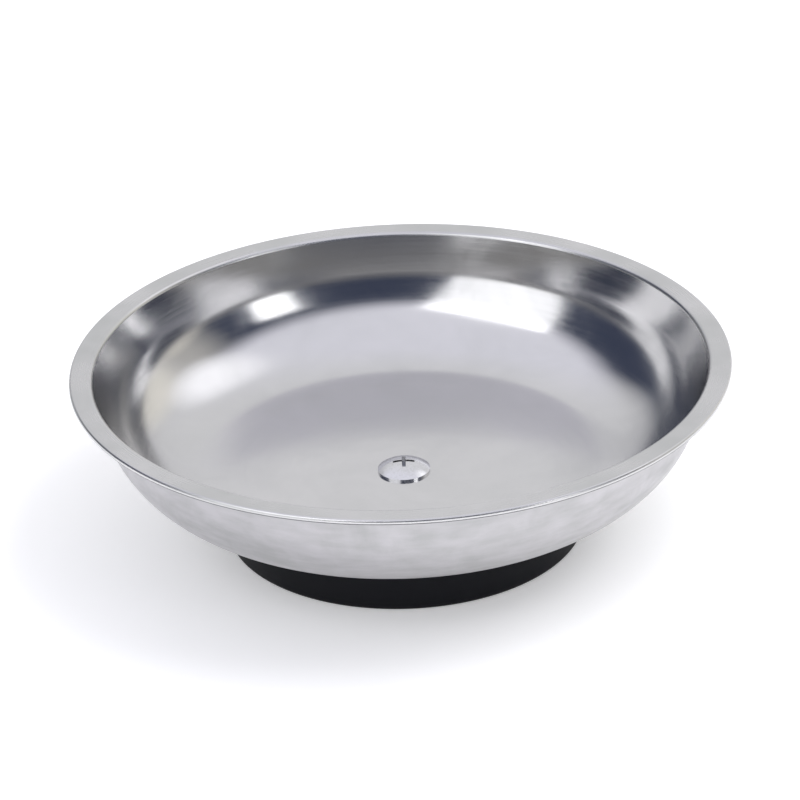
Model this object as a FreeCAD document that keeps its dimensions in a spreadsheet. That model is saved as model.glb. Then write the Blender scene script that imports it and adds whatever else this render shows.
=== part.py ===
"""Round magnetic parts tray: a pressed stainless dish on a rubber-booted ring magnet.

The frame has its origin at the centre of the foot's underside, with +Z up. Sizes are millimetres
and degrees. Every piece is a body of its own, drawn on its own origin and lifted to its place:

    dish            stainless sheet, flat floor, round wall and a flat lip curled under at its edge
    centre_screw    truss-head cross-recess machine screw through the middle of the dish
    foam_pad        thin ring that beds the dish on the magnet
    magnet_ring     ferrite ring, magnetised through its thickness
    keeper_plate    pressed steel plate under the magnet, its middle raised to hide the nut
    flat_washer, spring_washer, hex_nut    fasten the screw up inside the raised middle
    rubber_boot     cup round the plate and magnet, held by a lip between magnet and dish
"""
import FreeCAD, Part
import math
import os

import Sketcher

Vector = FreeCAD.Vector

# Driving dimensions: alias, value, what it is.
SIZES = [
    ("rim_diameter", 150.0, "dish, outside of the curled lip"),
    ("overall_height", 41.4, "resting face to the top of the lip"),
    ("sheet", 0.5, "thickness of the dish's stainless sheet"),
    ("floor_radius", 43.8, "flat part of the dish's floor, underside"),
    ("wall_arc", 25.0, "radius of the round wall, outside"),
    ("wall_slope", 75.5, "slope of the wall's straight top, degrees from level"),
    ("lip_bend", 0.7, "radius under the bend from wall to lip"),
    ("curl_radius", 0.7, "outside radius of the lip's curled edge"),
    ("curl_return", 1.6, "how far the curl runs back under the lip"),
    ("screw_hole", 5.4, "hole for the screw in dish and plate, diameter"),
    ("foot_diameter", 82.0, "outside of the rubber boot"),
    ("foot_height", 13.4, "resting face to the dish's underside"),
    ("boot_base", 1.5, "thickness of rubber under the plate"),
    ("boot_wall", 2.0, "thickness of rubber round the magnet"),
    ("boot_lip", 2.5, "how far the boot's lip reaches over the magnet"),
    ("boot_edge", 1.2, "round on the boot's bottom edge"),
    ("access_hole", 14.0, "hole in the boot for a nut spanner, diameter"),
    ("groove_first", 21.0, "radius of the innermost grip groove"),
    ("groove_pitch", 5.0, "step from one grip groove to the next"),
    ("groove_count", 4.0, "number of grip grooves in the resting face"),
    ("groove_width", 1.2, "width of a grip groove"),
    ("groove_depth", 0.4, "depth of a grip groove"),
    ("magnet_diameter", 77.5, "ferrite ring, outside"),
    ("magnet_bore", 32.0, "ferrite ring, inside"),
    ("magnet_height", 10.0, "ferrite ring, thickness"),
    ("magnet_chamfer", 0.5, "broken edges of the ferrite ring"),
    ("pad_height", 0.9, "foam pad, thickness"),
    ("pad_outside", 72.0, "foam pad, outside diameter"),
    ("pad_inside", 34.0, "foam pad, inside diameter"),
    ("plate_diameter", 77.0, "keeper plate, outside"),
    ("plate_gauge", 1.0, "keeper plate, thickness"),
    ("boss_height", 7.0, "how far the plate's middle is raised"),
    ("boss_base", 15.4, "radius outside the raised middle, at its foot"),
    ("boss_top", 13.4, "radius outside the raised middle, at its top"),
    ("boss_bend", 1.4, "outside radius of the bends of the raised middle"),
    ("thread", 5.0, "screw thread, outside diameter"),
    ("thread_gap", 0.05, "radial gap between the screw and the nut's bore"),
    ("screw_length", 12.0, "screw, under its head"),
    ("head_diameter", 12.0, "screw head"),
    ("head_height", 2.4, "screw head"),
    ("head_edge", 0.5, "straight edge of the screw head"),
    ("recess_span", 5.2, "cross recess, tip to tip"),
    ("recess_width", 1.1, "cross recess, width of a slot"),
    ("recess_depth", 1.7, "cross recess"),
    ("recess_taper", 8.0, "slope of the recess's sides, degrees"),
    ("washer_diameter", 10.0, "flat washer, outside"),
    ("washer_bore", 5.3, "flat and spring washer, inside"),
    ("washer_height", 1.0, "flat washer, thickness"),
    ("spring_diameter", 9.2, "spring washer, outside"),
    ("spring_height", 1.2, "spring washer, tightened"),
    ("spring_slit", 0.8, "gap in the spring washer"),
    ("nut_flats", 8.0, "nut, across flats"),
    ("nut_height", 4.0, "nut, thickness"),
    ("nut_chamfer", 0.6, "how much the nut's corners are turned off"),
    ("edge_break", 0.2, "small broken edges"),
]
SHEET = "Sizes"
VALUES = {alias: value for alias, value, note in SIZES}


class Size:
    """A length as a number and as the spreadsheet expression that gives it."""

    def __init__(self, value, text):
        self.value = float(value)
        self.text = text

    def _join(self, other, sign, value):
        text = other.text if isinstance(other, Size) else repr(float(other))
        return Size(value, f"({self.text} {sign} {text})")

    def __add__(self, other):
        return self._join(other, "+", self.value + number(other))

    def __sub__(self, other):
        return self._join(other, "-", self.value - number(other))

    def __mul__(self, other):
        return self._join(other, "*", self.value * number(other))

    def __truediv__(self, other):
        return self._join(other, "/", self.value / number(other))


def number(size):
    """The plain number of a Size or a number."""
    return size.value if isinstance(size, Size) else float(size)


def size(alias):
    """The Size that a spreadsheet cell holds."""
    return Size(VALUES[alias], f"{SHEET}.{alias}")


ZERO = Size(0.0, "0.0")


# ---------------------------------------------------------------- document, bodies and sketches

def make_sheet(doc):
    """Writes the driving dimensions to the document's spreadsheet."""
    sheet = doc.addObject("Spreadsheet::Sheet", SHEET)
    for row, (alias, value, note) in enumerate(SIZES, start=1):
        sheet.set(f"A{row}", note)
        sheet.set(f"B{row}", str(value))
        sheet.setAlias(f"B{row}", alias)
    doc.recompute()


def make_body(doc, label, lift):
    """An empty body whose own origin stands lift above the resting face."""
    body = doc.addObject("PartDesign::Body", label)
    body.Label = label
    body.setExpression("Placement.Base.z", lift.text)
    return body


def origin_plane(body, role):
    """One of the body's own origin planes."""
    return next(f for f in body.Origin.OriginFeatures if f.Role == role)


def make_sketch(body, name, role="XZ_Plane", lift=None):
    """A sketch on an origin plane of the body, moved along the plane's normal by lift."""
    sketch = body.newObject("Sketcher::SketchObject", name)
    sketch.AttachmentSupport = [(origin_plane(body, role), "")]
    sketch.MapMode = "FlatFace"
    if lift is not None:
        sketch.setExpression("AttachmentOffset.Base.z", lift.text)
    return sketch


def line(sketch, start, end):
    """A straight edge between two (x, y) pairs of numbers."""
    return sketch.addGeometry(Part.LineSegment(Vector(*start, 0), Vector(*end, 0)))


def arc(sketch, centre, radius, first, last):
    """An arc counter-clockwise between two angles in degrees; its ends are points 1 and 2."""
    circle = Part.Circle(Vector(*centre, 0), Vector(0, 0, 1), radius)
    return sketch.addGeometry(Part.ArcOfCircle(circle, math.radians(first), math.radians(last)))


def fix(sketch, kind, *references):
    """A geometric constraint."""
    sketch.addConstraint(Sketcher.Constraint(kind, *references))


def bind(sketch, kind, *references, to):
    """A dimension that follows the spreadsheet."""
    value = math.radians(to.value) if kind == "Angle" else to.value
    index = sketch.addConstraint(Sketcher.Constraint(kind, *references, value))
    name = f"size_{index}"
    sketch.renameConstraint(index, name)
    degrees = " * 1 deg" if kind == "Angle" else ""
    sketch.setExpression(f"Constraints.{name}", to.text + degrees)


def place(sketch, edge, point, x, y):
    """Dimensions one end of an edge from the sketch's origin."""
    if x is ZERO:
        fix(sketch, "PointOnObject", edge, point, -2)
    else:
        bind(sketch, "DistanceX", -1, 1, edge, point, to=x)
    if y is ZERO:
        fix(sketch, "PointOnObject", edge, point, -1)
    else:
        bind(sketch, "DistanceY", -1, 1, edge, point, to=y)


def straight_outline(sketch, corners):
    """A closed outline of straight edges whose corners, pairs of Sizes, are each dimensioned."""
    points = [(x.value, y.value) for x, y in corners]
    edges = [line(sketch, a, b) for a, b in zip(points, points[1:] + points[:1])]
    for edge, after in zip(edges, edges[1:] + edges[:1]):
        fix(sketch, "Coincident", edge, 2, after, 1)
    for edge, (x, y) in zip(edges, corners):
        place(sketch, edge, 1, x, y)


def ring_outline(sketch, outside, inside=None):
    """One circle, or two about the same centre, from their diameters."""
    for diameter in filter(None, (outside, inside)):
        circle = Part.Circle(Vector(0, 0, 0), Vector(0, 0, 1), diameter.value / 2)
        edge = sketch.addGeometry(circle)
        fix(sketch, "Coincident", edge, 3, -1, 1)
        bind(sketch, "Diameter", edge, to=diameter)


def turn(body, sketch, name="Turned"):
    """The sketch turned once round the body's own Z axis."""
    feature = body.newObject("PartDesign::Revolution", name)
    feature.Profile = sketch
    feature.ReferenceAxis = (sketch, ["V_Axis"])
    feature.Angle = 360
    body.Document.recompute()
    return feature


def cut_round(body, corners, name):
    """Turns a straight-edged groove out of the body. Its corners are pairs of Sizes, radius and height."""
    sketch = make_sketch(body, f"{name}Outline")
    straight_outline(sketch, corners)
    feature = body.newObject("PartDesign::Groove", name)
    feature.Profile = sketch
    feature.ReferenceAxis = (sketch, ["V_Axis"])
    feature.Angle = 360
    body.Document.recompute()
    return feature


def pad(body, sketch, height, name="Raised"):
    """The sketch raised by a height."""
    feature = body.newObject("PartDesign::Pad", name)
    feature.Profile = sketch
    feature.setExpression("Length", height.text)
    body.Document.recompute()
    return feature


def pocket(body, sketch, depth, name, reverse=False):
    """The sketch cut down into the body, against its plane's normal unless reverse is set."""
    feature = body.newObject("PartDesign::Pocket", name)
    feature.Profile = sketch
    feature.Reversed = reverse
    feature.setExpression("Length", depth.text)
    body.Document.recompute()
    return feature


def round_edges(feature, wanted):
    """Names of the feature's full-circle edges with one of the wanted (radius, height) pairs."""
    names = []
    for index, edge in enumerate(feature.Shape.Edges, start=1):
        if not isinstance(edge.Curve, Part.Circle):
            continue
        radius, height = edge.Curve.Radius, edge.Curve.Center.z
        if any(abs(radius - r) < 1e-4 and abs(height - z) < 1e-4 for r, z in wanted):
            names.append(f"Edge{index}")
    if len(names) != len(wanted):
        raise RuntimeError(f"{feature.Name}: found {len(names)} of {len(wanted)} edges")
    return names


def break_edges(feature, kind, amount, wanted, name):
    """A Fillet or Chamfer of round edges, each given as a pair of Sizes, radius and height."""
    body = feature.getParentGeoFeatureGroup()
    made = body.newObject(f"PartDesign::{kind}", name)
    pairs = [(number(r), number(z)) for r, z in wanted]
    made.Base = (feature, round_edges(feature, pairs))
    made.setExpression("Radius" if kind == "Fillet" else "Size", amount.text)
    body.Document.recompute()
    return made


# ---------------------------------------------------------------- heights that pieces share

plate_level = size("boot_base")
magnet_level = plate_level + size("plate_gauge")
pad_level = magnet_level + size("magnet_height")
dish_level = size("foot_height")
head_level = dish_level + size("sheet")
washer_level = plate_level + size("boss_height") - size("washer_height")
spring_level = washer_level - size("spring_height")
nut_level = spring_level - size("nut_height")


# ---------------------------------------------------------------- the pieces

def make_dish(doc):
    """Sheet section drawn on both surfaces, then turned: floor, round wall, lip and curl."""
    body = make_body(doc, "dish", dish_level)
    sketch = make_sketch(body, "SheetSection")
    sheet = VALUES["sheet"]
    top = VALUES["overall_height"] - VALUES["foot_height"]
    hole, flat = VALUES["screw_hole"] / 2, VALUES["floor_radius"]
    wall, slope = VALUES["wall_arc"], VALUES["wall_slope"]
    sine, cosine = math.sin(math.radians(slope)), math.cos(math.radians(slope))
    bend, curl = VALUES["lip_bend"], VALUES["curl_radius"]

    wall_end = (flat + wall * sine, wall * (1 - cosine))
    bend_height = top - sheet - bend
    rise = bend_height + bend * cosine - wall_end[1]
    bend_centre = (wall_end[0] + rise * cosine / sine + bend * sine, bend_height)
    curl_centre = (VALUES["rim_diameter"] / 2 - curl, top - curl)
    wall_centre = (flat, wall)
    tip = curl_centre[0] - VALUES["curl_return"]

    def on(centre, radius, degrees):
        angle = math.radians(degrees)
        return (centre[0] + radius * math.cos(angle), centre[1] + radius * math.sin(angle))

    surfaces = []
    for offset in (0.0, sheet):
        floor = line(sketch, (hole, offset), (flat, offset))
        round_wall = arc(sketch, wall_centre, wall - offset, -90, slope - 90)
        upright = line(sketch, on(wall_centre, wall - offset, slope - 90),
                       on(bend_centre, bend + offset, slope + 90))
        turn_out = arc(sketch, bend_centre, bend + offset, 90, slope + 90)
        lip = line(sketch, on(bend_centre, bend + offset, 90),
                   on(curl_centre, curl - sheet + offset, 90))
        edge = arc(sketch, curl_centre, curl - sheet + offset, -90, 90)
        under = on(curl_centre, curl - sheet + offset, -90)
        back = line(sketch, under, (tip, under[1]))
        for first, end, second, start in ((floor, 2, round_wall, 1), (round_wall, 2, upright, 1),
                                          (upright, 2, turn_out, 2), (turn_out, 1, lip, 1),
                                          (lip, 2, edge, 2), (edge, 1, back, 1)):
            fix(sketch, "Tangent", first, end, second, start)
        for level in (floor, lip, back):
            fix(sketch, "Horizontal", level)
        surfaces.append((floor, round_wall, upright, turn_out, lip, edge, back))

    lower, upper = surfaces
    for number_of_arc in (1, 3, 5):
        fix(sketch, "Coincident", lower[number_of_arc], 3, upper[number_of_arc], 3)
    hole_edge = line(sketch, (hole, 0), (hole, sheet))
    curl_edge = line(sketch, (tip, top - 2 * curl + sheet), (tip, top - 2 * curl))
    for cap, first, first_end, second, second_end in ((hole_edge, lower[0], 1, upper[0], 1),
                                                      (curl_edge, lower[6], 2, upper[6], 2)):
        fix(sketch, "Coincident", cap, 1, first, first_end)
        fix(sketch, "Coincident", cap, 2, second, second_end)
        fix(sketch, "Vertical", cap)

    depth = size("overall_height") - size("foot_height")
    place(sketch, lower[0], 1, size("screw_hole") / 2, ZERO)
    bind(sketch, "DistanceX", -1, 1, lower[0], 2, to=size("floor_radius"))
    bind(sketch, "DistanceY", hole_edge, 1, hole_edge, 2, to=size("sheet"))
    bind(sketch, "Radius", lower[1], to=size("wall_arc"))
    bind(sketch, "Angle", lower[2], to=size("wall_slope"))
    bind(sketch, "Radius", lower[3], to=size("lip_bend"))
    bind(sketch, "DistanceY", -1, 1, lower[4], 1, to=depth - size("sheet"))
    bind(sketch, "DistanceY", -1, 1, upper[4], 1, to=depth)
    bind(sketch, "Radius", lower[5], to=size("curl_radius") - size("sheet"))
    bind(sketch, "DistanceX", -1, 1, lower[4], 2, to=size("rim_diameter") / 2 - size("curl_radius"))
    bind(sketch, "DistanceX", lower[6], 2, lower[6], 1, to=size("curl_return"))
    turn(body, sketch)
    return body


def make_centre_screw(doc):
    """Low domed head and plain shank, with a tapered cross recess cut into the head."""
    body = make_body(doc, "centre_screw", head_level)
    shank = size("thread") / 2 - size("thread_gap")
    head, rise, edge = size("head_diameter") / 2, size("head_height"), size("head_edge")
    end = size("screw_length")
    tip = size("edge_break") * 2
    sketch = make_sketch(body, "ScrewSection")
    reach, dome = head.value, rise.value - edge.value
    radius = (reach ** 2 + dome ** 2) / (2 * dome)
    corners = [(0, rise.value), (0, -end.value), (shank.value - tip.value, -end.value),
               (shank.value, tip.value - end.value), (shank.value, 0), (reach, 0), (reach, edge.value)]
    edges = [line(sketch, a, b) for a, b in zip(corners, corners[1:])]
    start = math.degrees(math.asin((radius - dome) / radius))
    crown = arc(sketch, (0, rise.value - radius), radius, start, 90)
    for first, second in zip(edges, edges[1:]):
        fix(sketch, "Coincident", first, 2, second, 1)
    fix(sketch, "Coincident", edges[-1], 2, crown, 1)
    fix(sketch, "Coincident", crown, 2, edges[0], 1)
    fix(sketch, "PointOnObject", crown, 3, -2)
    fix(sketch, "PointOnObject", edges[0], 1, -2)
    fix(sketch, "Vertical", edges[0])
    fix(sketch, "Horizontal", edges[1])
    fix(sketch, "Vertical", edges[3])
    fix(sketch, "PointOnObject", edges[4], 1, -1)
    fix(sketch, "Horizontal", edges[4])
    fix(sketch, "Vertical", edges[5])
    bind(sketch, "DistanceY", -1, 1, edges[0], 1, to=rise)
    bind(sketch, "DistanceY", edges[1], 1, -1, 1, to=end)
    bind(sketch, "DistanceX", -1, 1, edges[1], 2, to=shank - tip)
    bind(sketch, "DistanceX", -1, 1, edges[3], 1, to=shank)
    bind(sketch, "DistanceY", edges[2], 1, edges[2], 2, to=tip)
    bind(sketch, "DistanceX", -1, 1, edges[5], 1, to=head)
    bind(sketch, "DistanceY", -1, 1, edges[5], 2, to=edge)
    turn(body, sketch)

    half, width = size("recess_span") / 2, size("recess_width") / 2
    for name, along, across in (("RecessX", half, width), ("RecessY", width, half)):
        slot = make_sketch(body, f"{name}Outline", "XY_Plane", rise)
        box = [(ZERO - along, ZERO - across), (along, ZERO - across), (along, across), (ZERO - along, across)]
        straight_outline(slot, box)
        cut = pocket(body, slot, size("recess_depth"), name)
        cut.setExpression("TaperAngle", "-" + size("recess_taper").text)
    doc.recompute()
    return body


def make_foam_pad(doc):
    """Flat foam ring."""
    body = make_body(doc, "foam_pad", pad_level)
    sketch = make_sketch(body, "Ring", "XY_Plane")
    ring_outline(sketch, size("pad_outside"), size("pad_inside"))
    pad(body, sketch, size("pad_height"))
    return body


def make_magnet_ring(doc):
    """Ferrite ring with all four edges broken."""
    body = make_body(doc, "magnet_ring", magnet_level)
    sketch = make_sketch(body, "Ring", "XY_Plane")
    outside, inside, height = size("magnet_diameter"), size("magnet_bore"), size("magnet_height")
    ring_outline(sketch, outside, inside)
    ring = pad(body, sketch, height)
    edges = [(d / 2, z) for d in (outside, inside) for z in (ZERO, height)]
    break_edges(ring, "Chamfer", size("magnet_chamfer"), edges, "BrokenEdges")
    return body


def make_keeper_plate(doc):
    """Pressed plate: flat ring, sloping side and raised middle of one thickness, bends rounded."""
    body = make_body(doc, "keeper_plate", plate_level)
    gauge, rise = size("plate_gauge"), size("boss_height")
    base, top, bore = size("boss_base"), size("boss_top"), size("screw_hole") / 2
    outside = size("plate_diameter") / 2
    sketch = make_sketch(body, "SheetSection")
    straight_outline(sketch, [
        (bore, rise), (top - gauge, rise), (base - gauge, ZERO), (outside, ZERO),
        (outside, gauge), (base, gauge), (top, rise + gauge), (bore, rise + gauge)])
    plate = turn(body, sketch)
    bent = break_edges(plate, "Fillet", size("boss_bend"),
                       [(base, gauge), (top, rise + gauge)], "OuterBends")
    break_edges(bent, "Fillet", size("boss_bend") - gauge,
                [(base - gauge, ZERO), (top - gauge, rise)], "InnerBends")
    return body


def make_flat_washer(doc):
    """Plain steel washer."""
    body = make_body(doc, "flat_washer", washer_level)
    sketch = make_sketch(body, "Ring", "XY_Plane")
    outside, height = size("washer_diameter"), size("washer_height")
    ring_outline(sketch, outside, size("washer_bore"))
    ring = pad(body, sketch, height)
    break_edges(ring, "Chamfer", size("edge_break"), [(outside / 2, ZERO)], "BrokenEdge")
    return body


def make_spring_washer(doc):
    """Split washer, drawn tightened flat, with a slanting slit."""
    body = make_body(doc, "spring_washer", spring_level)
    sketch = make_sketch(body, "Ring", "XY_Plane")
    outside, height = size("spring_diameter"), size("spring_height")
    ring_outline(sketch, outside, size("washer_bore"))
    pad(body, sketch, height)
    slit = make_sketch(body, "SlitOutline", "XZ_Plane")
    half, slant = size("spring_slit") / 2, height / 2
    straight_outline(slit, [(ZERO - slant - half, ZERO - half), (half - slant, ZERO - half),
                            (slant + half, height + half), (slant - half, height + half)])
    pocket(body, slit, outside, "Slit", reverse=True)
    return body


def make_hex_nut(doc):
    """Hexagon with turned corners and a plain bore at the thread's outside diameter."""
    body = make_body(doc, "hex_nut", nut_level)
    flats, height = size("nut_flats"), size("nut_height")
    corner = flats / math.sqrt(3)
    bore = size("thread") / 2
    sketch = make_sketch(body, "Hexagon", "XY_Plane")
    sides = 6
    points = [(corner.value * math.cos(2 * math.pi * k / sides),
               corner.value * math.sin(2 * math.pi * k / sides)) for k in range(sides)]
    edges = [line(sketch, a, b) for a, b in zip(points, points[1:] + points[:1])]
    guide = sketch.addGeometry(Part.Circle(Vector(0, 0, 0), Vector(0, 0, 1), corner.value), True)
    fix(sketch, "Coincident", guide, 3, -1, 1)
    bind(sketch, "Radius", guide, to=corner)
    for edge, after in zip(edges, edges[1:] + edges[:1]):
        fix(sketch, "Coincident", edge, 2, after, 1)
        fix(sketch, "PointOnObject", edge, 1, guide)
    for edge in edges[1:]:
        fix(sketch, "Equal", edges[0], edge)
    fix(sketch, "PointOnObject", edges[0], 1, -1)
    pad(body, sketch, height)

    chamfer = size("nut_chamfer")
    inner = flats / 2
    beyond = corner + chamfer
    drop = chamfer * math.tan(math.radians(30)) * 2
    for name, face, inward in (("LowerCorners", ZERO, drop), ("UpperCorners", height, ZERO - drop)):
        outward = ZERO - inward
        cut_round(body, [(inner, face), (beyond, face + inward), (beyond, face + outward),
                         (inner, face + outward)], name)
    hole = make_sketch(body, "Bore", "XY_Plane")
    ring_outline(hole, bore * 2)
    through = pocket(body, hole, height, "Through", reverse=True)
    break_edges(through, "Chamfer", size("edge_break") * 2, [(bore, ZERO), (bore, height)], "BoreLeads")
    return body


def make_rubber_boot(doc):
    """Cup with a lip turned in over the magnet, a spanner hole and grip grooves underneath."""
    body = make_body(doc, "rubber_boot", ZERO)
    outside, height = size("foot_diameter") / 2, size("foot_height")
    inside = outside - size("boot_wall")
    base, mouth = size("boot_base"), size("access_hole") / 2
    lip_under = height - size("pad_height")
    lip_reach = inside - size("boot_lip")
    sketch = make_sketch(body, "BootSection")
    straight_outline(sketch, [
        (mouth, ZERO), (outside, ZERO), (outside, height), (lip_reach, height),
        (lip_reach, lip_under), (inside, lip_under), (inside, base), (mouth, base)])
    cup = turn(body, sketch)
    rounded = break_edges(cup, "Fillet", size("boot_edge"), [(outside, ZERO)], "BottomRound")
    break_edges(rounded, "Fillet", size("edge_break"), [(outside, height), (mouth, ZERO)], "SmallRounds")
    width, depth = size("groove_width"), size("groove_depth")
    for count in range(int(VALUES["groove_count"])):
        middle = size("groove_first") + size("groove_pitch") * count
        near, far = middle - width / 2, middle + width / 2
        cut_round(body, [(near, ZERO - depth), (far, ZERO - depth), (far, depth), (near, depth)],
                  f"GripGroove{count + 1}")
    return body


# ---------------------------------------------------------------- build, check and write

def faults(doc):
    """Every object of the document that failed to compute."""
    return [o.Name for o in doc.Objects if any(s in o.State for s in ("Invalid", "Error"))]


def main():
    doc = FreeCAD.newDocument("parts_tray")
    make_sheet(doc)
    makers = (make_dish, make_centre_screw, make_foam_pad, make_magnet_ring, make_keeper_plate,
              make_flat_washer, make_spring_washer, make_hex_nut, make_rubber_boot)
    bodies = [make(doc) for make in makers]
    doc.recompute()
    failed = faults(doc)
    if failed:
        raise RuntimeError(f"these objects failed: {failed}")
    os.makedirs("parts", exist_ok=True)
    for body in bodies:
        shape = body.Shape
        if shape.isNull() or not shape.isValid() or shape.Volume <= 0:
            raise RuntimeError(f"{body.Label} has no valid solid")
    for body in bodies:
        shape = body.Shape
        box = shape.BoundBox
        shape.exportStep(f"parts/{body.Label}.step")
        print(f"{body.Label:14s} {len(shape.Solids)} solid  {shape.Volume:10.2f} mm3  "
              f"z {box.ZMin:6.2f} to {box.ZMax:6.2f}  wide {box.XLength:7.2f}")


main()
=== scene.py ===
"""A round magnetic parts tray: a stainless dish on a ring magnet in a black rubber boot.

Each operator models one piece, or one group of like pieces, around the tray's CAD frame and gives
it its finish. The last one sets the stage. Sizes are metres, with +Z up and the tray standing on
the XY plane about the Z axis.
"""
import math

import bpy
from mathutils import Matrix, Vector


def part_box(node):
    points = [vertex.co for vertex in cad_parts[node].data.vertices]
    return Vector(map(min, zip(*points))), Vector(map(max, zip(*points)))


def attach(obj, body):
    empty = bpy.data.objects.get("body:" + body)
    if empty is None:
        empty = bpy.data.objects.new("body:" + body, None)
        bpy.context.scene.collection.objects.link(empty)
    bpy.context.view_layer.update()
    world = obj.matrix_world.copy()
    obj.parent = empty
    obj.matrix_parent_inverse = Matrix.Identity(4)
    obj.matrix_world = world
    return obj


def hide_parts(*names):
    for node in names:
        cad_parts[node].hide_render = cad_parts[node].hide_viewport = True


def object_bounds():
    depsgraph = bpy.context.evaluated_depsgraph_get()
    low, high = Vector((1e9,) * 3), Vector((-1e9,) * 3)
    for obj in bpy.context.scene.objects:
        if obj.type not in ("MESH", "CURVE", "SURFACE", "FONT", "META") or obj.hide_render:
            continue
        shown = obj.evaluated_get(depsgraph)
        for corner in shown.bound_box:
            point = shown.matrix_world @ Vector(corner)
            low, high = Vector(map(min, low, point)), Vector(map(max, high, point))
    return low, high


bl_info = {
    "name": "Magnetic parts tray",
    "version": (1, 0, 0),
    "blender": (4, 5, 0),
    "location": "3D View > Sidebar > Parts tray",
    "description": "Models a round magnetic parts tray piece by piece, with its finishes and a stage",
    "category": "Object",
}

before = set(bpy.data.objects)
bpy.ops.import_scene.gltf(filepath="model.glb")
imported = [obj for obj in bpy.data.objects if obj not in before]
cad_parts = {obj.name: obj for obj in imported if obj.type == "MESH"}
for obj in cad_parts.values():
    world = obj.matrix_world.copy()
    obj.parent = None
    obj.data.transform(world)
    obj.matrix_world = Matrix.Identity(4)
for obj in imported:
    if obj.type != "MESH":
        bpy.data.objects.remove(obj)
CAD_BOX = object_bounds()
BODY = "root"
MM = 0.001
FULL_TURN = 2 * math.pi
TOUCHING = 0.001 * MM
NEAR = 10 * TOUCHING
INSIDE, OUTSIDE, LIP, HEM_SHADE = range(4)    # the dish's three finishes and its painted hem shade, in the order of its material slots


# ---------------------------------------------------------------- settings

def length(name, value, note):
    """A length in metres."""
    return bpy.props.FloatProperty(name=name, description=note, default=value, min=0.0,
                                   unit="LENGTH", precision=5)


def angle(name, degrees, note):
    """An angle, kept in radians and shown in degrees."""
    return bpy.props.FloatProperty(name=name, description=note, default=math.radians(degrees),
                                   subtype="ANGLE", unit="ROTATION")


def share(name, value, note):
    """A number from 0 to 1."""
    return bpy.props.FloatProperty(name=name, description=note, default=value, min=0.0, max=1.0,
                                   subtype="FACTOR")


def count(name, value, note):
    """A whole number."""
    return bpy.props.IntProperty(name=name, description=note, default=value, min=1)


def colour(name, red, green, blue, note):
    """A linear colour."""
    return bpy.props.FloatVectorProperty(name=name, description=note, default=(red, green, blue),
                                         size=3, min=0.0, soft_max=1.0, subtype="COLOR")


def level(name, value, note):
    """A light's strength."""
    return bpy.props.FloatProperty(name=name, description=note, default=value, min=0.0)


class TrayDishSizes(bpy.types.PropertyGroup):
    """Sizes of the pressed dish."""

    sheet: length("Sheet", 0.5 * MM, "Thickness of the stainless sheet")
    hole: length("Screw hole", 2.7 * MM, "Radius of the hole in the middle of the floor")
    floor: length("Floor", 43.8 * MM, "Radius of the flat floor")
    wall_round: length("Wall round", 25 * MM, "Outside radius of the round wall")
    wall_slope: angle("Wall slope", 75.5, "Slope of the straight top of the wall")
    lip_bend: length("Lip bend", 0.7 * MM, "Radius under the bend from wall to lip")
    curl: length("Curl", 0.7 * MM, "Outside radius of the curled edge")
    curl_return: length("Curl return", 1.6 * MM, "How far the curl runs back under the lip")
    wall_steps: count("Wall steps", 30, "Faces up the round wall")
    bend_steps: count("Bend steps", 10, "Faces over the bend from wall to lip")
    curl_steps: count("Curl steps", 18, "Faces round the curled edge")
    around: count("Steps round", 288, "Faces in one turn round the dish")


class TrayBootSizes(bpy.types.PropertyGroup):
    """Sizes of the rubber boot."""

    base: length("Base", 1.5 * MM, "Thickness of the rubber under the plate")
    wall: length("Wall", 2 * MM, "Thickness of the rubber round the magnet")
    lip: length("Lip", 2.5 * MM, "How far the lip reaches over the magnet")
    lip_height: length("Lip height", 0.9 * MM, "Thickness of the lip over the magnet")
    bottom_round: length("Bottom round", 1.2 * MM, "Round on the bottom edge")
    small_round: length("Small rounds", 0.2 * MM, "Round on the other edges")
    access: length("Spanner hole", 7 * MM, "Radius of the hole under the nut")
    groove_first: length("First groove", 21 * MM, "Radius of the innermost grip groove")
    groove_pitch: length("Groove pitch", 5 * MM, "Step from one grip groove to the next")
    groove_count: count("Grooves", 4, "Number of grip grooves")
    groove_width: length("Groove width", 1.2 * MM, "Width of a grip groove")
    groove_depth: length("Groove depth", 0.4 * MM, "Depth of a grip groove")
    groove_round: length("Groove round", 0.12 * MM, "Round on the grooves' edges")
    around: count("Steps round", 224, "Faces in one turn round the boot")


class TrayMagnetSizes(bpy.types.PropertyGroup):
    """Sizes of the magnet, the foam pad and the keeper plate."""

    bore: length("Magnet bore", 16 * MM, "Radius of the hole in the ring magnet")
    chamfer: length("Magnet edge", 0.5 * MM, "Broken edges of the ring magnet")
    pad_bore: length("Pad bore", 17 * MM, "Radius of the hole in the foam pad")
    gauge: length("Plate gauge", 1 * MM, "Thickness of the pressed plate")
    boss_base: length("Boss foot", 15.4 * MM, "Radius outside the plate's raised middle, at its foot")
    boss_top: length("Boss top", 13.4 * MM, "Radius outside the plate's raised middle, at its top")
    boss_bend: length("Boss bend", 1.4 * MM, "Outside radius of the plate's bends")
    edge: length("Broken edges", 0.12 * MM, "Round on cut edges")
    around: count("Steps round", 160, "Faces in one turn round these rings")


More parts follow.
